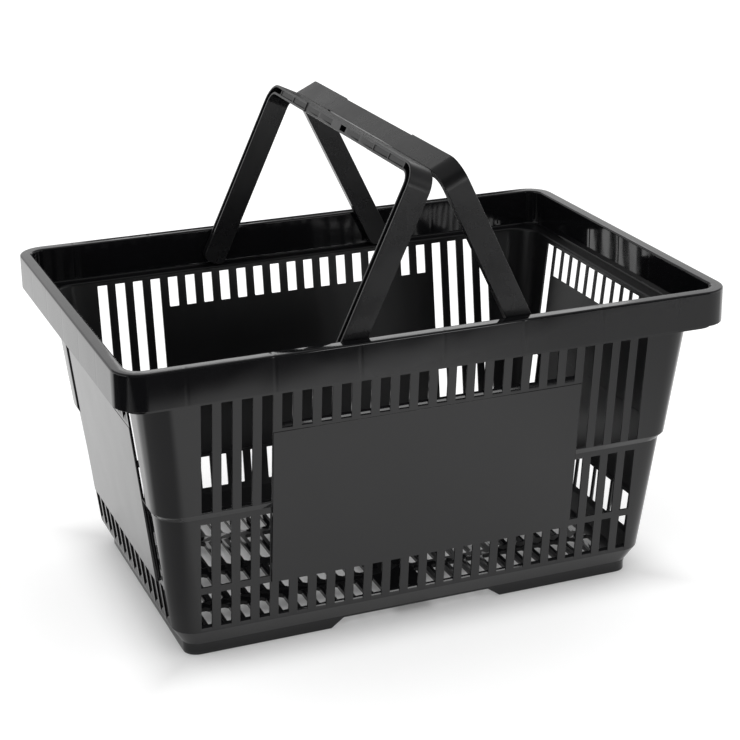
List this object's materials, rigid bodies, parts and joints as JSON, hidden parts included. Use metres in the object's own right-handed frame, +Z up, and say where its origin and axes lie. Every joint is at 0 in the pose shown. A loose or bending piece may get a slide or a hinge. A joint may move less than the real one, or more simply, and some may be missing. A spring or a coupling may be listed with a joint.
{
  "type": "shopping basket",
  "caption": "Tapered, stepped shopping basket with slotted walls and floor, flush label panels, a deep hollow rim and folding strap handles that meet over the middle.",
  "frame": {"origin": "on the ground under the middle of the tub, level with the underside of the skid feet", "axes": "+Z up, +X along the long sides, +Y across the basket towards the back long side"},
  "size_m": [0.45, 0.3064, 0.3471],
  "materials": {
    "basket_plastic": "semi-gloss moulded black polypropylene",
    "handle_plastic": "semi-gloss moulded black polypropylene"
  },
  "bodies": {
    "tub": {"basket": "basket_plastic"},
    "left_strap": {"left_handle": "handle_plastic"},
    "right_strap": {"right_handle": "handle_plastic"}
  },
  "joints": [
    {"name": "left_handle_fold", "type": "hinge", "parent": "tub", "child": "left_strap", "pos_m": [-0.0685, 0, 0.216], "axis": [0, -1, 0], "range_deg": [0, 115]},
    {"name": "right_handle_fold", "type": "hinge", "parent": "tub", "child": "right_strap", "pos_m": [0.0685, 0, 0.216], "axis": [0, 1, 0], "range_deg": [0, 115]}
  ]
}
